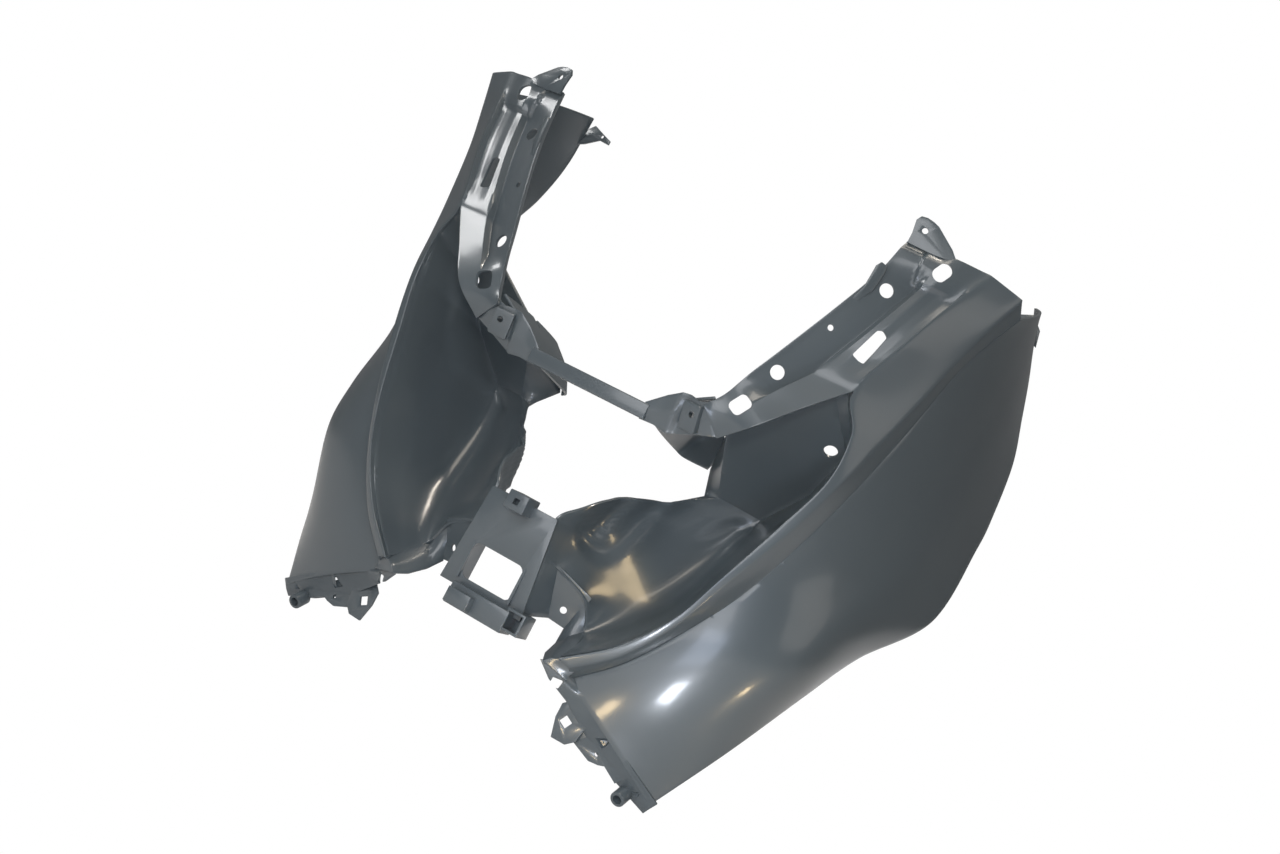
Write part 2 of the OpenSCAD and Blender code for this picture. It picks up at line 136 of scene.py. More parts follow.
# %% Guides of the wing
RIM = [(104, -59, 88), (148, -50, 125), (181, -46, 171), (202, -44, 222), (225, -32, 289),
       (243, -24, 348), (243, -26, 395), (229, -36, 430), (250, -23, 496), (264, -6, 543), (279, 14, 588)]
CREST = [(114, -48, 84), (151, -42, 117), (182, -39, 163), (208, -36, 222), (234, -24, 289),
         (252, -13, 348), (262, 0, 395), (271, 11, 435), (285, 24, 496), (298, 30, 543), (311, 37, 582)]
ROOT = [(114, -36, 72), (155, -33, 112), (193, -27, 168), (222, -17, 222), (245, -8, 285),
        (262, 5, 348), (273, 16, 400), (280, 26, 440), (290, 35, 496), (303, 43, 535), (316, 50, 568)]
BELLY = [(172, -29, 42), (236, -22, 84), (296, -8, 162), (305, 15, 218), (306, 62, 283),
         (318, 90, 356), (322, 105, 410), (322, 115, 450), (325, 130, 505), (324, 132, 552),
         (322, 135, 600)]
EDGE = [(226, 8, 5), (262, 37, 82), (290, 80, 156), (311, 122, 213), (345.4, 188, 279),
        (344.4, 228, 366), (341, 240, 408), (333, 250, 464), (318, 258.9, 512), (303, 254, 563),
        (285, 226, 620)]
ARM_START = 0.7
# The crest stands forward of its guides and the root behind them
CREST_OUT = Vector((1.6, -4, 0))
ROOT_BACK = Vector((-1.6, 4, 0))
# Share of the way across the lip and share of its crown
LIP = [(0, 0), (0.05, 0.5), (0.12, 0.85), (0.25, 1), (0.5, 1), (0.75, 1), (0.88, 0.85), (0.95, 0.5)]
LIP_CROWN = 1.4
# The same across the step from the crest down to the root
STEP = [(0, 0), (0.15, -0.3), (0.5, 0.2), (0.8, 0.9), (0.93, 0.8)]
STEP_GROOVE = 2.6
WING_COLS = 34
# A soft ridge runs along the wing and fades at its ends
RIDGE_H = 4.0
RIDGE_OUT = Vector((0.8, -0.6, 0))
RIDGE_PLACE = (0.56, 0.84)
RIDGE_REACH = 0.3


def ridge(s, t):
    """Height of the soft ridge at share s of the wing's length, t of its width."""
    away = abs(t - mix(*RIDGE_PLACE, s)) / RIDGE_REACH
    ends = smooth(s / RIDGE_REACH) * smooth((1 - s) / RIDGE_REACH)
    return RIDGE_H * (1 - smooth(away)) * ends * (1 - t)


def wing_part(s):
    """Section of the wing at share s of its length, rim first."""
    rim, crest, root = along(RIM, s), along(CREST, s) + CREST_OUT, along(ROOT, s) + ROOT_BACK
    belly, edge = along(BELLY, s), along(EDGE, s)
    points = [mix(rim, crest, t) - Vector((0, LIP_CROWN * high, 0)) for t, high in LIP]
    points += [mix(crest, root, t) + Vector((0, STEP_GROOVE * deep, 0)) for t, deep in STEP]
    for k in range(WING_COLS + 1):
        t = k / WING_COLS
        points.append(bezier(root, belly, edge, t) + ridge(s, t) * RIDGE_OUT)
    return points


print("points in a wing section:", len(wing_part(0)))

# %% [markdown]
# The recess is a deep pocket beside the rider's knee. Nine rows of guides cross
# it from the free edge of its floor to the rim. A shallow lobe and a finger
# hollow are sunk into its floor. Higher up it turns into flat plates with
# sharp folds, which pass behind the arm.

# %% Guides of the recess
RECESS = [
    (0.00, (42, -52, 158), (52, -34, 157), (83, -17, 143), (95, -12, 117), (101, -34, 100)),
    (0.10, (36, -57, 196), (54, -12, 188), (86, 16, 168), (120, 20, 150), (139, -14, 136)),
    (0.20, (48, -45, 217), (64, 0, 208), (96, 40, 196), (140, 48, 184), (168, 2, 178)),
    (0.30, (66, -8, 243), (82, 38, 240), (112, 66, 236), (152, 76, 231), (184, 16, 227)),
    (0.38, (92, 44, 263), (106, 64, 266), (130, 80, 268), (160, 92, 270), (197, 28, 272)),
    (0.41, (109, 74, 284), (122, 76, 289), (144, 88, 289), (165, 98, 288), (204, 33, 292)),
    (0.50, (94, 95, 311), (120, 48, 318), (160, 63, 322), (204, 76, 332), (228, 26, 342)),
    (0.60, (98, 80, 332), (119, 28, 338), (174, 37, 354), (230, 41, 378), (238, 8, 387)),
    (0.70, (108, 50, 356), (121, 5, 361), (166, -3, 392), (206, -15, 424), (220, -22, 428)),
]
# From here up the recess is flat plates with folds
FLAT_FROM = 0.5
FLAT_EASE = 0.125
# The wall is turned back behind the rim, and tucked further back behind the arm
RIM_TURN = 5.0
TUCK = 10.0
TUCK_FROM = 0.8
TUCK_EASE = 0.2
# The lobe and the finger hollow are each sunk round a line
LOBE_LINE = Vector((68, -5, 212)), Vector((62, 31, 274))
LOBE_R = 38.0
LOBE_STEEP = 2.5
LOBE_SINK = Vector((-3.5, 5, 0))
FINGER_LINE = Vector((66, 0, 245)), Vector((57, -8, 209))
FINGER_R = 13.0
FINGER_STEEP = 1.6
FINGER_SINK = Vector((-3, 4, 0))
INNER_COLS = 41


def rim_share(u):
    """Share of the rim's length at share u of the recess."""
    return along([row[0] for row in RECESS], u)


def off_line(p, a, b):
    """Distance of p from the line that runs from a to b."""
    t = (p - a).dot(b - a) / (b - a).length_squared
    return (p - mix(a, b, min(max(t, 0), 1))).length


def sunk_lobe(p):
    """Sinks the lobe and the finger hollow into the floor of the recess."""
    lobe = smooth((1 - off_line(p, *LOBE_LINE) / LOBE_R) * LOBE_STEEP)
    finger = smooth((1 - off_line(p, *FINGER_LINE) / FINGER_R) * FINGER_STEEP)
    return p + LOBE_SINK * lobe + FINGER_SINK * finger


def recess_part(u):
    """Section of the recess, u from 0 at its foot to 1 behind the arm."""
    rim = along(RIM, rim_share(u))
    through = folded if u > FLAT_FROM else along
    guides = [through([row[j] for row in RECESS], u) for j in range(1, 6)] + [rim]
    flat = smooth((u - FLAT_FROM) / FLAT_EASE)
    shares = [k / (INNER_COLS - 1) for k in range(INNER_COLS - 1)]
    points = [sunk_lobe(mix(along(guides, t), folded(guides, t), flat)) for t in shares]
    turn = Vector((-1, RIM_TURN + TUCK * smooth((u - TUCK_FROM) / TUCK_EASE), 0))
    return points + [rim + turn]


print("points in a recess section:", len(recess_part(0)))

# %% [markdown]
# The arm is a bent channel. Its inner band slopes back to a valley, a step
# brings the surface forward again, and the outer band runs up to the lip of
# the wing. Its lower third hangs free over the recess.

# %% Guides of the arm
ARM_INNER = [(119, -72, 356), (130, -64, 374), (141, -60, 402), (152, -52, 430), (176, -36, 492),
             (192, -21, 541), (200, -11, 584)]
ARM_UNDER = [(140, -57, 334), (170, -68, 358), (199, -54, 394), (229, -36, 430)]
ARM_LOW = 0.5
ARM_RETURN = Vector((2, 10, 0))
# Share of the way across the arm and share of the valley's depth, fold by fold
VALLEY = [(0, 0), (0.08, 0.18), (0.19, 0.4), (0.32, 0.68), (0.46, 1), (0.54, 0.35), (0.64, 0.35),
          (0.76, 0.55), (0.88, 0.65), (0.97, 0.6)]
VALLEY_CELLS = [3, 4, 5, 5, 4, 4, 5, 4, 4]
VALLEY_DEPTH = 10.0
VALLEY_FROM = 0.22
VALLEY_TO = 0.93
VALLEY_RUN_IN = 0.12
VALLEY_RUN_OUT = 0.1


def arm_edge(q):
    """Outer edge of the arm: free at first, then on the rim of the wing."""
    if q < ARM_LOW:
        return along(ARM_UNDER, q / ARM_LOW)
    return along(RIM, mix(ARM_START, 1, (q - ARM_LOW) / (1 - ARM_LOW)))


def valley_steps():
    """Places across the arm with the share of the depth, each fold on a column."""
    steps = [VALLEY[0]]
    for (x0, d0), (x1, d1), cells in zip(VALLEY, VALLEY[1:], VALLEY_CELLS):
        for k in range(1, cells + 1):
            steps.append((mix(x0, x1, k / cells), mix(d0, d1, k / cells)))
    return steps


def valley_depth(q, across, depth):
    """Depth of the valley at place q along the arm."""
    reach = smooth((q - VALLEY_FROM) / VALLEY_RUN_IN) * smooth((VALLEY_TO - q) / VALLEY_RUN_OUT)
    outer = 1 if across < 0.5 else smooth((q - ARM_LOW) / VALLEY_RUN_OUT)
    return VALLEY_DEPTH * depth * reach * outer


print("columns across the arm:", len(valley_steps()))

# %% [markdown]
# Two small forms sit near the top of the arm: a pad that stands round the
# oblong hole, and a groove where the top tab is folded up. Both are added to
# the depth of the same grid, so they need no mesh of their own.

# %% Pad and groove at the top of the arm
PAD_CORNER_X = 223.5
PAD_CORNER_Z = 547.0
PAD_SLOPE = 0.1
PAD_SIDE = 4
PAD_FOOT = 5
PAD_HIGH = 4.0
PAD_END = 0.95
PAD_END_EASE = 0.3
GROOVE_DEPTH = 3.0
GROOVE_FROM = 0.955
GROOVE_EASE = 0.03
GROOVE_END = 0.6
GROOVE_END_EASE = 0.15


def pad(p, across):
    """Rise of the raised pad round the oblong hole at the top of the arm."""
    aside = p.x - PAD_CORNER_X + PAD_SLOPE * (p.z - PAD_CORNER_Z)
    above = p.z - PAD_CORNER_Z - PAD_SLOPE * (p.x - PAD_CORNER_X)
    sides = smooth(aside / PAD_SIDE + 0.5) * smooth(above / PAD_FOOT + 0.5)
    return PAD_HIGH * sides * smooth((PAD_END - across) / PAD_END_EASE)


def fold_groove(q, across):
    """Groove along the top of the arm, where its tab is folded up."""
    start = smooth((q - GROOVE_FROM) / GROOVE_EASE)
    return GROOVE_DEPTH * start * smooth((GROOVE_END - across) / GROOVE_END_EASE)


def arm_part(q):
    """Section of the arm, q from 0 at its foot to 1 at its top."""
    inner, outer = along(ARM_INNER, q), arm_edge(q)
    points = [inner + ARM_RETURN, inner + ARM_RETURN * 0.5]
    for across, depth in valley_steps():
        p = mix(inner, outer, across)
        back = valley_depth(q, across, depth) + fold_groove(q, across) - pad(p, across)
        points.append(p + Vector((0, back, 0)))
    return points


print("points in an arm section:", len(arm_part(0)))

# %% [markdown]
# A grid from bmesh is the natural start for a swept sheet: its rows become the
# sections and its columns run along the form. Moving each vertex to its place
# keeps clean quads, which shade well and take a wall thickness without creases.

# %% Grids moved onto sections


def add_grid(bm, sections):
    """Adds one grid to a bmesh and moves its vertices onto the sections."""
    rows, cols = len(sections), len(sections[0])
    made = bmesh.ops.create_grid(bm, x_segments=cols - 1, y_segments=rows - 1, size=1)["verts"]
    for n, vert in enumerate(made):
        vert.co = place(sections[n // cols][n % cols])


def new_object(name, bm):
    """Turns a bmesh into an object of the scene."""
    mesh = bpy.data.meshes.new(name)
    bm.to_mesh(mesh)
    bm.free()
    piece = bpy.data.objects.new(name, mesh)
    bpy.context.scene.collection.objects.link(piece)
    return piece


def settled(piece):
    """Turns a piece's modifiers into mesh."""
    graph = bpy.context.evaluated_depsgraph_get()
    mesh = bpy.data.meshes.new_from_object(piece.evaluated_get(graph))
    old = piece.data
    piece.modifiers.clear()
    piece.data = mesh
    bpy.data.meshes.remove(old)
    return piece


print("meshes in the scene so far:", len(bpy.data.meshes))

# %% [markdown]
# A moulded edge is never sharp, and it is the edge that catches light. A
# Bevel modifier rounds each edge that turns by more than a limit. A sheet gets
# its wall from Solidify first, and only its cut edges turn by more than 62
# degrees, so its folds stay as they are drawn.

# %% Walls and soft edges
EDGE_R = 0.5
BOX_R = 0.8
SOLID_LIMIT = 40
SHEET_LIMIT = 62


def soften(piece, width=EDGE_R, segments=2, limit=SOLID_LIMIT):
    """Rounds the edges that turn by more than the limit."""
    edge = piece.modifiers.new("edge", "BEVEL")
    edge.width = width * MM
    edge.segments = segments
    edge.limit_method = "ANGLE"
    edge.angle_limit = math.radians(limit)
    return settled(piece)


def walled(piece):
    """Gives a sheet its wall behind the show face and softens the cut edges."""
    wall = piece.modifiers.new("wall", "SOLIDIFY")
    wall.thickness = WALL * MM
    wall.offset = -1
    wall.use_even_offset = False
    wall.use_rim = True
    return soften(piece, limit=SHEET_LIMIT)


print("wall:", WALL, "mm, edges rounded by", EDGE_R, "mm")

# %% [markdown]
# Recess, arm and wing are one connected surface. Three grids share their edge
# points: the recess with its wing, the hanging part of the arm, and the upper
# arm with its wing. Welding the shared points makes one surface with a slit
# where the recess passes behind the arm, and Solidify gives it the wall.

# %% Shell of recess, arm and wing
RECESS_ROWS = 96
FOOT_ROWS = 30
UPPER_ROWS = 72


def make_shell():
    """Recess, arm and wing of the right half in one piece."""
    bm = bmesh.new()
    lower = [i / RECESS_ROWS for i in range(RECESS_ROWS + 1)]
    add_grid(bm, [recess_part(u) + wing_part(rim_share(u)) for u in lower])
    foot = [ARM_LOW * i / FOOT_ROWS for i in range(FOOT_ROWS + 1)]
    add_grid(bm, [arm_part(q) + [arm_edge(q)] for q in foot])
    upper = [i / UPPER_ROWS for i in range(UPPER_ROWS + 1)]
    add_grid(bm, [arm_part(mix(ARM_LOW, 1, t)) + wing_part(mix(ARM_START, 1, t)) for t in upper])
    bmesh.ops.remove_doubles(bm, verts=bm.verts, dist=0.01 * MM)
    return walled(new_object("shell", bm))


shell = make_shell()
print("shell faces:", len(shell.data.polygons))

# %% [markdown]
# The other sheets are small and plain: the wall from the arm back to the rear
# of the recess, the bracket below the arm, the screw face beside the bridge,
# the end wall of the recess and the flange below the wing.

# %% Small sheets


def moulded_sheet(name, guides, rows, cols, through=folded):
    """Sheet through a coarse grid of guides."""
    sections = []
    for i in range(rows + 1):
        line = [through([g[j] for g in guides], i / rows) for j in range(len(guides[0]))]
        sections.append([through(line, k / cols) for k in range(cols + 1)])
    bm = bmesh.new()
    add_grid(bm, sections)
    return walled(new_object(name, bm))


INNER_WALL = [
    [(70, -56, 324), (67, -4, 317), (68, 48, 311), (76, 62, 308), (92, 95, 309)],
    [(96, -60, 350), (88, -5, 343), (82, 46, 334), (86, 64, 328), (96, 92, 320)],
    [(123, -62, 366), (112, -12, 362), (102, 36, 354), (102, 54, 348), (104, 70, 342)],
]
STRAP_BRACKET = [
    [(62, -57, 318), (78, -58, 319), (92, -56, 317), (99, -53, 320), (122, -56, 329), (139, -55, 335),
     (146, -50, 341)],
    [(62, -61, 327), (79, -61, 333), (93, -63, 337), (99, -59, 340), (116, -63, 341), (129, -63, 346),
     (138, -56, 351)],
    [(62, -61, 335), (80, -63, 350), (93, -66, 358), (101, -65, 359), (112, -68, 357), (120, -68, 359),
     (128, -62, 364)],
]
SCREW_FACE = [
    [(44, -49, 102), (56, -10, 110), (78, -6, 108)],
    [(43, -51, 132), (53, -23, 136), (82, -8, 126)],
    [(41, -52, 163), (50, -34, 161), (88, -14, 147)],
]
END_WALL = [
    [(73, -6, 107), (78, -20, 94), (82, -42, 84), (90, -58, 78), (116, -46, 72)],
    [(78, -9, 126), (86, -16, 106), (91, -40, 92), (96, -57, 84), (116, -45, 77)],
    [(84, -14, 149), (97, -6, 119), (103, -34, 101), (106, -54, 88), (118, -44, 82)],
]
LOWER_FLANGE = [
    [(88, -58, 78), (100, -47, 65), (118, -28, 53), (150, -8, 28), (186, 2, 8), (222, 14, -6)],
    [(99, -51, 82), (113, -40, 69), (130, -27, 58), (160, -14, 37), (194, -6, 19), (226, 10, 0)],
    [(115, -32, 77), (126, -29, 70), (142, -26, 61), (170, -20, 47), (202, -9, 27), (232, 8, 9)],
]

solids = [
    shell,
    moulded_sheet("inner_wall", INNER_WALL, 20, 32, along),
    moulded_sheet("strap_bracket", STRAP_BRACKET, 12, 24),
    moulded_sheet("screw_face", SCREW_FACE, 8, 8),
    moulded_sheet("end_wall", END_WALL, 8, 16),
    moulded_sheet("lower_flange", LOWER_FLANGE, 8, 30),
]
print("sheets:", [s.name for s in solids])

# %% [markdown]
# Tabs, channels and bosses are made from plates and boxes. A plate starts as
# an outline, which bmesh fills and extrudes. A cut is a Boolean modifier, and
# its Manifold solver keeps a closed mesh closed.

# %% Plates, boxes and cuts
# A cutter runs this far past a face that it opens
PAST = 10


def prism(name, outline, depth, turn, centre):
    """Plate cut to an outline, turned from the XY plane and set at a centre."""
    bm = bmesh.new()
    verts = [bm.verts.new((x, y, -depth / 2)) for x, y in outline]
    face = bm.faces.new(verts)
    bmesh.ops.recalc_face_normals(bm, faces=[face])
    pushed = bmesh.ops.extrude_face_region(bm, geom=[face])["geom"]
    tops = [v for v in pushed if isinstance(v, bmesh.types.BMVert)]
    bmesh.ops.translate(bm, verts=tops, vec=(0, 0, depth))
    bmesh.ops.recalc_face_normals(bm, faces=bm.faces)
    angles = Euler([math.radians(a) for a in turn], "XYZ").to_matrix().to_4x4()
    bmesh.ops.transform(bm, matrix=angles, verts=bm.verts)
    for vert in bm.verts:
        vert.co = place(vert.co + Vector(centre))
    return new_object(name, bm)


def block(name, low, high):
    """Box between two corners."""
    bm = bmesh.new()
    bmesh.ops.create_cube(bm, size=1)
    for vert in bm.verts:
        vert.co = place(Vector(low[i] if vert.co[i] < 0 else high[i] for i in range(3)))
    return new_object(name, bm)


def cut(piece, *tools, operation="DIFFERENCE"):
    """Boolean of a piece with each tool in turn. The tools are used up."""
    for tool in tools:
        step = piece.modifiers.new("cut", "BOOLEAN")
        step.operation = operation
        step.solver = "MANIFOLD"
        step.object = tool
        settled(piece)
        bpy.data.objects.remove(tool)
    return piece


def hollow_box(name, low, high, open_side):
    """Box hollowed a wall inside, open towards one negative direction."""
    wall = Vector((WALL, WALL, WALL))
    start = Vector(low) + wall + Vector(open_side) * (WALL + PAST)
    box = soften(block(name, low, high), BOX_R, 3)
    return cut(box, block(name + "_hollow", start, Vector(high) - wall))


print("solids so far:", len(solids))

# %% [markdown]
# Outlines are lists of points in millimetres, about the centre of the shape.
# Round stretches come from a formula, so that the count of points can change.

# %% Outlines
# An eased corner takes at most this share of the side beside it
CORNER_SHARE = 0.4


def rounded(w, h, r, steps=6):
    """Outline of a rectangle with round corners."""
    points = []
    for sx, sy, start in ((1, 1, 0), (-1, 1, 90), (-1, -1, 180), (1, -1, 270)):
        for k in range(steps + 1):
            a = math.radians(start + 90 * k / steps)
            points.append((sx * (w / 2 - r) + r * math.cos(a), sy * (h / 2 - r) + r * math.sin(a)))
    return points


def disc(d, steps=40):
    """Outline of a round hole or rod."""
    angles = [2 * math.pi * k / steps for k in range(steps)]
    return [(d / 2 * math.cos(a), d / 2 * math.sin(a)) for a in angles]


def spun(outline, degrees):
    """The same outline, turned in its own plane."""
    a = math.radians(degrees)
    return [(x * math.cos(a) - y * math.sin(a), x * math.sin(a) + y * math.cos(a)) for x, y in outline]


def eased(outline, r=2.0, steps=4):
    """Outline with each corner cut to a short curve."""
    points = []
    count = len(outline)
    for n in range(count):
        a, b, c = (Vector(outline[(n + k) % count]) for k in (-1, 0, 1))
        first = b + (a - b).normalized() * min(r, (a - b).length * CORNER_SHARE)
        last = b + (c - b).normalized() * min(r, (c - b).length * CORNER_SHARE)
        points += [tuple(bezier(first, b, last, k / steps)) for k in range(steps + 1)]
    return points


print("outline points of a round hole:", len(disc(14)))

# %% [markdown]
# Each tab is a flat plate drawn in X and Z, and its hole is cut before its
# edges are softened, so that the hole's edge is soft too. The pad of the strap
# bracket leans with the bracket. The screw boss points forward and 30 degrees
# down.

# %% Tabs and bosses
BOSS = (200, 0, 0)
BOSS_D = 15
BOSS_L = 16
BOSS_LEAN = 30
ARM_TURN = 28
BRACKET_LEAN = 20
BRACKET_TURN = -13
SMALL_HOLE = disc(6, 24)
PIN_HOLE = disc(4, 24)
SQUARE_HOLE = spun(rounded(9, 9, 0.6, 2), -ARM_TURN)
TAB_CUT = 12
TOP_TAB = [(201, 580), (201, 590), (199, 603), (202, 608), (208, 609), (215, 608), (221, 606),
           (242, 592), (248, 586), (244, 582), (226, 580)]
ARM_LEDGE = [(184, 508), (189, 524), (190, 546), (193, 551), (199, 550), (200, 542), (198, 524),
             (190, 508)]
REAR_TAB = [(300, 584), (296, 602), (283, 615), (268, 609), (257, 605), (257, 600), (270, 601),
            (286, 590)]
SIDE_TAB = [(118, 16), (113, 35), (113, 49), (124, 59), (150, 52), (143, 36), (141, 23), (133, 16)]
SMALL_TAB = [(136, 22), (158, 13), (168, 14), (174, 16), (190, 7), (197, 16), (168, 38), (144, 46)]
RIB_X = 29
RIB_LOW = (RIB_X, -54, 106)
RIB_HIGH = (RIB_X + WALL, -29, 144)
BRACKET_PAD = rounded(20, 27, 1.5, 2)
BRACKET_PAD_AT = (110, -61.5, 341)
BRACKET_PAD_D = 8


def leaning_rod(name, outline, length):
    """Rod along the axis of the screw boss."""
    return prism(name, outline, length, (90 + BOSS_LEAN, 0, 0), BOSS)


def tab(name, outline, y, turn, hole=None, hole_at=(0, 0)):
    """Flat tab at depth y, turned about the vertical through its first point."""
    px = outline[0][0]
    pose = (90, 0, turn), (px, y, 0)
    plate = prism(name, [(x - px, z) for x, z in outline], WALL, *pose)
    if hole:
        shifted = [(x + hole_at[0] - px, z + hole_at[1]) for x, z in hole]
        cut(plate, prism(name + "_hole", shifted, TAB_CUT, *pose))
    return soften(plate)


solids += [
    tab("top_tab", TOP_TAB, y=-12, turn=16, hole=SMALL_HOLE, hole_at=(211, 597)),
    tab("rear_tab", REAR_TAB, y=239, turn=0, hole=PIN_HOLE, hole_at=(269, 606)),
    tab("side_tab", SIDE_TAB, y=-19, turn=10, hole=SQUARE_HOLE, hole_at=(124, 35)),
    tab("small_tab", SMALL_TAB, y=-11, turn=10, hole=PIN_HOLE, hole_at=(162, 22)),
    tab("arm_ledge", ARM_LEDGE, y=-29, turn=ARM_TURN),
    soften(prism("bracket_pad", BRACKET_PAD, BRACKET_PAD_D, (90 + BRACKET_LEAN, 0, BRACKET_TURN),
                 BRACKET_PAD_AT), BOX_R),
    block("window_rib", RIB_LOW, RIB_HIGH),
    soften(leaning_rod("boss", disc(BOSS_D), BOSS_L), BOX_R),
]
print("solids of the right half:", len(solids))

# %% [markdown]
# The centre pieces are made once and aren't mirrored: the strap is a channel,
# the bridge a leaning plate with a window, the clip tower a small box with a
# square hole, and the foot of the bridge a channel with a pocket and a hook.

# %% Centre pieces
STRAP_LOW = Vector((-68, -62, 319))
STRAP_HIGH = Vector((68, -54, 334))
STRAP_ROUND = 1.2
BRIDGE_TOP = Vector((38, -58.5, 199))
BRIDGE_FOOT = Vector((48, -49.5, 98))
WINDOW = rounded(58, 36, 7)
WINDOW_AT = (0, -50, 126)
WINDOW_CUT = 48
TOWER_LOW = Vector((-11, CLIP.y, 187))
TOWER_HIGH = Vector((11, -50, 205))
TOWER_ROUND = 1.0
CLIP_HOLE = 6
DOWN = (0, 0, -1)
FORWARD = (0, -1, 0)
FOOT_CHANNEL = (-27, -62, 80), (40, -38, 102)
FOOT_POCKET = (36, -61, 84), (57, -36, 106)
FOOT_HOOK = (-23, -73, 82), (3, -60, 97)


def make_strap():
    """Channel open to the rear."""
    hollow_low = STRAP_LOW + Vector((-PAST, WALL, WALL))
    hollow_high = STRAP_HIGH + Vector((PAST, PAST, -WALL))
    bar = soften(block("strap", STRAP_LOW, STRAP_HIGH), STRAP_ROUND, 3)
    return cut(bar, block("strap_hollow", hollow_low, hollow_high))


def make_bridge():
    """Leaning plate, narrower at its top, with a round-cornered window."""
    foot, top = BRIDGE_FOOT, BRIDGE_TOP
    rise = top.z - foot.z
    lean = math.degrees(math.atan((foot.y - top.y) / rise))
    outline = [(-foot.x, 0), (foot.x, 0), (top.x, rise), (-top.x, rise)]
    plate = prism("bridge", outline, WALL, (90 + lean, 0, 0), (0, foot.y + WALL / 2, foot.z))
    return soften(cut(plate, prism("window", WINDOW, WINDOW_CUT, (90, 0, 0), WINDOW_AT)))


def make_tower():
    """Box open below and to the rear, with the square clip hole in its front."""
    hollow_low = TOWER_LOW + Vector((WALL, WALL, -PAST))
    hollow_high = TOWER_HIGH + Vector((-WALL, PAST, -WALL))
    r = CLIP_HOLE / 2
    return cut(
        soften(block("tower", TOWER_LOW, TOWER_HIGH), TOWER_ROUND, 3),
        block("tower_hollow", hollow_low, hollow_high),
        block("tower_hole", CLIP - Vector((r, PAST, r)), CLIP + Vector((r, PAST, r))),
    )


centre = [
    make_strap(), make_bridge(), make_tower(),
    hollow_box("foot_channel", *FOOT_CHANNEL, DOWN),
    hollow_box("foot_pocket", *FOOT_POCKET, FORWARD),
    hollow_box("foot_hook", *FOOT_HOOK, DOWN),
]
print("centre pieces:", [piece.name for piece in centre])

# %% [markdown]
# Every opening is a real hole. Each cutter is a prism along the normal of the
# wall that it passes through, or close to it.

# %% Openings
CUT_DEPTH = 24
ARM_HOLE = disc(14)
TOP_SLOT = rounded(14, 20, 6.5)
FOOT_SLOT = rounded(14, 20, 5)
KEY_SLOT = eased([(-11, -14), (-3, -17), (2, -17), (6, -4), (11, 15), (5, 19), (0, 17)])
WALL_HOLE = eased([(7, 0), (-3.5, 6), (-3.5, -6)], 1.2)
RECESS_HOLE = disc(14)
SCREW_HOLE = disc(7, 24)
BOSS_BORE = disc(9)
BORE_PAST = 2
SNAP_HOLE = rounded(11, 7, 1.5)
SNAP_TURN = (60, 0, 40)
SNAP_PLACES = [(107, -43, 66), (164, -16, 36), (212, -3, 9)]
SNAP_CUT = 14


def arm_cutter(name, outline, centre, spin=0):
    """Cutter square to the face of the arm."""
    return prism(name, spun(outline, spin), CUT_DEPTH, (90, 0, ARM_TURN), centre)


def half_cutters():
    """Cutters of the right half."""
    tools = [
        arm_cutter("upper_hole", ARM_HOLE, (207, -17, 530)),
        arm_cutter("lower_hole", ARM_HOLE, (160, -49, 414)),
        arm_cutter("top_slot", TOP_SLOT, (240, 0, 568), -28),
        arm_cutter("key_slot", KEY_SLOT, (220, -27, 474)),
        arm_cutter("foot_slot", FOOT_SLOT, (148, -64, 371), -30),
        arm_cutter("drain_hole", SMALL_HOLE, (181, -35, 474)),
        prism("pad_hole", SMALL_HOLE, CUT_DEPTH, (90, 0, 0), (111, -66, 343)),
        prism("recess_hole", RECESS_HOLE, CUT_DEPTH, (134, 0, 25), (215, 35, 376)),
        prism("screw_hole", SCREW_HOLE, CUT_DEPTH, (90, 0, 20), (65, -7, 124)),
        prism("wall_hole", WALL_HOLE, CUT_DEPTH, (0, 90, 0), (108, -5, 362)),
        leaning_rod("boss_bore", BOSS_BORE, BOSS_L + BORE_PAST),
    ]
    for n, centre in enumerate(SNAP_PLACES):
        tools.append(prism(f"snap_{n}", SNAP_HOLE, SNAP_CUT, SNAP_TURN, centre))
    return tools


half = solids[0]
cut(half, *solids[1:], operation="UNION")
cut(half, *half_cutters())
print("right half faces:", len(half.data.polygons))

# %% [markdown]
# The left half mirrors the right. A mirrored mesh is inside out, so its faces
# are turned back before the halves and the centre pieces become one mesh.

# %% One moulding
# Edges that turn by more than this many degrees are shaded as sharp
CREASE = 38


def mirrored_copy(piece, name):
    """The other half, with its faces pointing outwards again."""
    bm = bmesh.new()
    bm.from_mesh(piece.data)
    bmesh.ops.scale(bm, vec=(-1, 1, 1), verts=bm.verts)
    bmesh.ops.reverse_faces(bm, faces=bm.faces)
    return new_object(name, bm)


moulding = cut(half, mirrored_copy(half, "other_half"), *centre, operation="UNION")
moulding.name = "leg_shield_moulding"
moulding.data.name = "leg_shield_moulding"
moulding.data.shade_smooth()
moulding.data.set_sharp_from_angle(angle=math.radians(CREASE))
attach(moulding, "root")
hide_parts("leg_shield")
print("moulding faces:", len(moulding.data.polygons))

# %% [markdown]
# The plastic is ABS, moulded in slate grey against a polished tool. Its colour
# is nearly even. What the eye reads is its gloss: a sharp reflection from the
# smooth skin, held by a thin coat, over a broader one whose roughness changes
# softly from place to place, as on a part that has been handled.

# %% Moulded ABS
SLATE_DARK = "#3F474C"
SLATE_LIGHT = "#485055"
# Sizes of the patches, in millimetres
TINT_PATCH = 111.0
GLOSS_PATCH = 71.4
ROUGHNESS = (0.28, 0.35)
ABS_IOR = 1.54
SKIN_WEIGHT = 0.5
SKIN_ROUGHNESS = 0.12


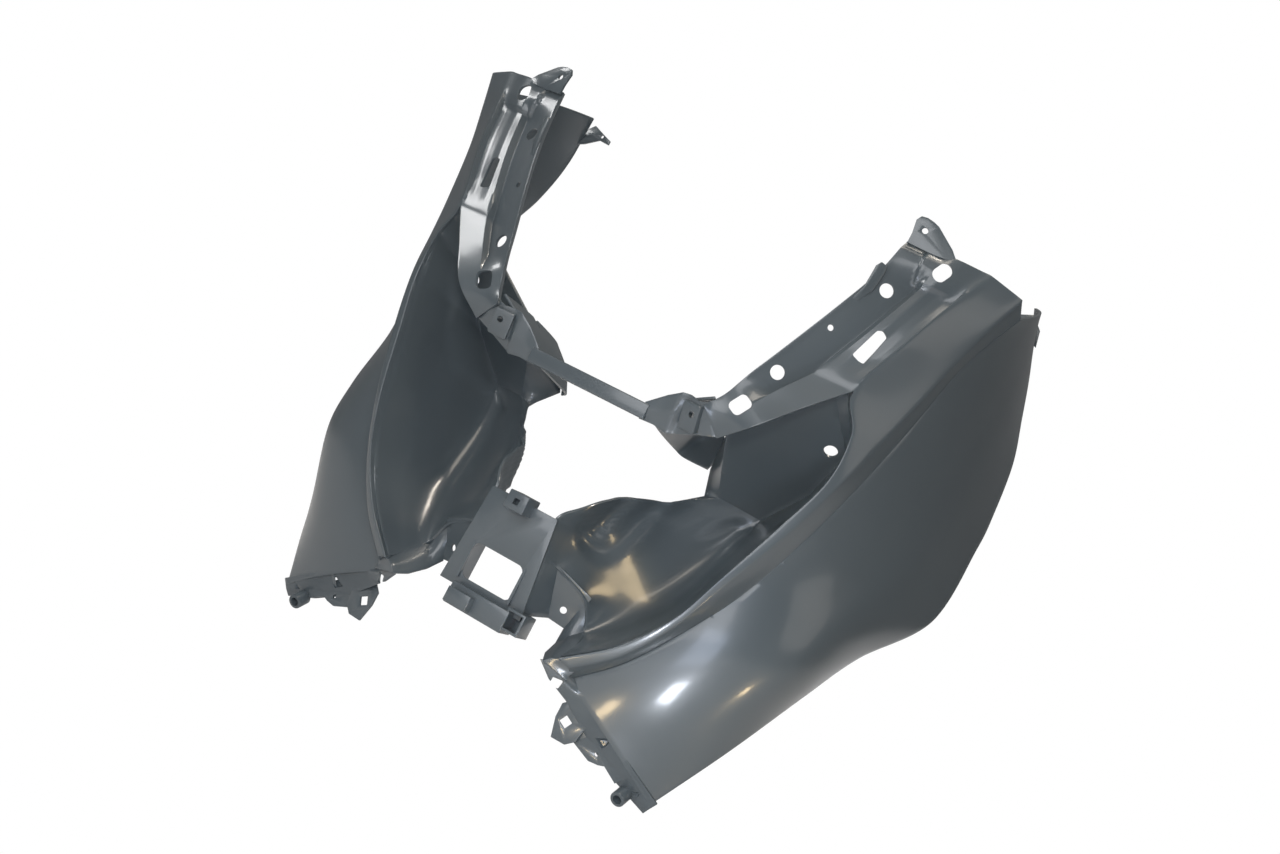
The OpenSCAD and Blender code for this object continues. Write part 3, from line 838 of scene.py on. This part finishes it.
def linear(hex_colour):
    """sRGB hex to a linear colour."""
    parts = [int(hex_colour[i:i + 2], 16) / 255 for i in (1, 3, 5)]
    return [c / 12.92 if c <= 0.04045 else ((c + 0.055) / 1.055) ** 2.4 for c in parts] + [1]


def add_node(tree, kind, settings=None, links=None):
    """Adds a node, sets its inputs or attributes, and links sockets into it."""
    node = tree.nodes.new(kind)
    for key, value in (settings or {}).items():
        if key in node.inputs:
            node.inputs[key].default_value = value
        else:
            setattr(node, key, value)
    for key, source in (links or {}).items():
        tree.links.new(source, node.inputs[key])
    return node


def moulded_abs():
    """The one material of the part."""
    material = bpy.data.materials.new("moulded_abs_slate")
    material.use_nodes = True
    tree = material.node_tree
    shader = tree.nodes["Principled BSDF"]
    where = add_node(tree, "ShaderNodeTexCoord").outputs["Object"]
    cloud = add_node(tree, "ShaderNodeTexNoise", {"Scale": 1 / (TINT_PATCH * MM), "Detail": 1.0},
                     {"Vector": where})
    tint = add_node(tree, "ShaderNodeMix", {"data_type": "RGBA"})
    # By number, because the mix node has a socket named A for each data type
    tint.inputs[6].default_value = linear(SLATE_DARK)
    tint.inputs[7].default_value = linear(SLATE_LIGHT)
    tree.links.new(cloud.outputs["Fac"], tint.inputs[0])
    tree.links.new(tint.outputs[2], shader.inputs["Base Color"])
    haze = add_node(tree, "ShaderNodeTexNoise", {"Scale": 1 / (GLOSS_PATCH * MM), "Detail": 2.0},
                    {"Vector": where})
    rub = add_node(tree, "ShaderNodeMapRange", {"To Min": ROUGHNESS[0], "To Max": ROUGHNESS[1]},
                   {"Value": haze.outputs["Fac"]})
    tree.links.new(rub.outputs["Result"], shader.inputs["Roughness"])
    shader.inputs["IOR"].default_value = ABS_IOR
    shader.inputs["Coat Weight"].default_value = SKIN_WEIGHT
    shader.inputs["Coat Roughness"].default_value = SKIN_ROUGHNESS
    return material


abs_plastic = moulded_abs()
moulding.data.materials.clear()
moulding.data.materials.append(abs_plastic)
print("material:", abs_plastic.name)

# %% [markdown]
# The photograph was taken from in front, a little to the right, with the
# camera rolled. The camera's right and up directions say all of that. A 36 mm
# wide sensor and a lens of about 48 mm give its frame.

# %% Camera
RIGHT = Vector((0.8235, 0.3251, 0.4650))
UP = Vector((-0.4188, -0.2046, 0.8847))
BACK = RIGHT.cross(UP)
CAMERA_AT = Vector((675.1, -1445.6, 64.3)) * MM
SENSOR = 36
FOCAL_PIXELS = 1700
IMAGE_PIXELS = 1280

lens = bpy.data.cameras.new("camera")
lens.sensor_width = SENSOR
lens.lens = SENSOR * FOCAL_PIXELS / IMAGE_PIXELS
lens.clip_start = 0.01
camera = bpy.data.objects.new("camera", lens)
turned = Matrix((RIGHT, UP, BACK)).transposed().to_4x4()
camera.matrix_world = Matrix.Translation(CAMERA_AT) @ turned
bpy.context.scene.collection.objects.link(camera)
bpy.context.scene.camera = camera
print("lens:", round(lens.lens, 1), "mm")

# %% [markdown]
# The object stands on a plain pale floor before a white background. A white
# backdrop would light the plastic from all sides and wash its reflections out.
# So the world and the floor are white to the camera's own rays alone, and
# plain and dimmer to every other ray.

# %% World and floor
WORLD_LIGHT = 0.15
FLOOR_GREY = "#D2D2D2"
FLOOR_ROUGHNESS = 0.9
FLOOR_SIZE = 6
FLOOR_DROP = 0.002


def white_to_camera(tree, plain, seen):
    """Shows one shader to the camera and the plain one to all other rays."""
    path = add_node(tree, "ShaderNodeLightPath")
    both = add_node(tree, "ShaderNodeMixShader", links={"Fac": path.outputs["Is Camera Ray"]})
    tree.links.new(plain, both.inputs[1])
    tree.links.new(seen, both.inputs[2])
    return both.outputs["Shader"]


def white_world():
    """White behind the object, dim light all round it."""
    world = bpy.data.worlds.new("studio")
    bpy.context.scene.world = world
    world.use_nodes = True
    tree = world.node_tree
    tree.nodes.clear()
    white = {"Color": (1, 1, 1, 1), "Strength": 1.0}
    dim = {"Color": (1, 1, 1, 1), "Strength": WORLD_LIGHT}
    seen = add_node(tree, "ShaderNodeBackground", white).outputs["Background"]
    light = add_node(tree, "ShaderNodeBackground", dim).outputs["Background"]
    add_node(tree, "ShaderNodeOutputWorld", links={"Surface": white_to_camera(tree, light, seen)})


def pale_floor():
    """Floor just below the lowest point of the part."""
    bm = bmesh.new()
    bmesh.ops.create_grid(bm, x_segments=1, y_segments=1, size=FLOOR_SIZE)
    bmesh.ops.translate(bm, verts=bm.verts, vec=(0, 0, cad_box[0][2] - FLOOR_DROP))
    floor = new_object("floor", bm)
    material = bpy.data.materials.new("pale_floor")
    material.use_nodes = True
    tree = material.node_tree
    shader = tree.nodes["Principled BSDF"]
    shader.inputs["Base Color"].default_value = linear(FLOOR_GREY)
    shader.inputs["Roughness"].default_value = FLOOR_ROUGHNESS
    shine = add_node(tree, "ShaderNodeEmission", {"Color": (1, 1, 1, 1), "Strength": 1.0})
    surface = white_to_camera(tree, shader.outputs["BSDF"], shine.outputs["Emission"])
    tree.links.new(surface, tree.nodes["Material Output"].inputs["Surface"])
    floor.data.materials.append(material)
    return floor


white_world()
print("floor at", round(pale_floor().data.vertices[0].co.z, 3), "m")

# %% [markdown]
# Dark glossy plastic shows its lamps more than its own colour. A few broad
# lamps give the soft light. Small ones stand where a reflection has to fall:
# the bright marks on the lower panel and the warm one on the floor of the
# recess. The flash beside the camera and the rear lamp give light without
# being seen in the gloss.

# %% Lamps


def lamp(name, at, look, size, watts, colour="#FFFFFF", mirrored=True):
    """Square lamp at one place, turned to another, with its side in metres."""
    light = bpy.data.lights.new(name, "AREA")
    light.size = size
    light.energy = watts
    light.color = linear(colour)[:3]
    item = bpy.data.objects.new(name, light)
    item.location = at
    item.rotation_euler = (Vector(look) - Vector(at)).to_track_quat("-Z", "Y").to_euler()
    item.visible_camera = False
    item.visible_glossy = mirrored
    bpy.context.scene.collection.objects.link(item)


lamp("flash", (0.6, -1.47, 0.24), (0.05, 0, 0.1), 0.12, 8, "#FFF6EC", mirrored=False)
lamp("front", (0.1, -2.1, 0.7), (0.1, 0, 0), 1.5, 24, "#FBFCFF")
lamp("key", (0.0, -1.0, 2.2), (0.1, 0, 0.1), 0.8, 11, "#FFF3E4")
lamp("top", (0.1, 0.1, 2.1), (0.1, 0.1, 0), 0.35, 16, "#FFF3E4")
lamp("right", (2.1, -0.3, 0.9), (0.2, 0.1, 0.1), 1.2, 5, "#FFF8F0")
lamp("left", (-1.8, -0.9, 1.2), (-0.1, 0, 0), 0.5, 11)
lamp("rear", (0.3, 2.2, 0.9), (0, 0.1, 0.1), 1.5, 36, "#FBFCFF", mirrored=False)
lamp("panel_window", (0.36, -0.62, -0.06), (0.2, 0.05, -0.1), 0.2, 0.7, "#D8E6FF")
lamp("panel_glint", (0.3, -0.24, -0.175), (0.2, 0.05, -0.09), 0.05, 0.4, "#EEF4FF")
lamp("warm_glint", (0.163, -0.112, -0.18), (0.157, 0.047, -0.121), 0.02, 0.04, "#FFE2B0")
lamp("side_glint", (0.529, -0.036, -0.177), (0.257, 0.079, -0.054), 0.03, 0.12, "#FFE2B0")
lamp("floor_glint", (0.122, 0.093, 0.011), (0.084, 0.084, -0.042), 0.012, 0.005, "#FFE2B0")
print("lamps:", len(bpy.data.lights))

# %% [markdown]
# The view settings stay plain.

# %% Finish
bpy.context.scene.view_settings.view_transform = "Standard"
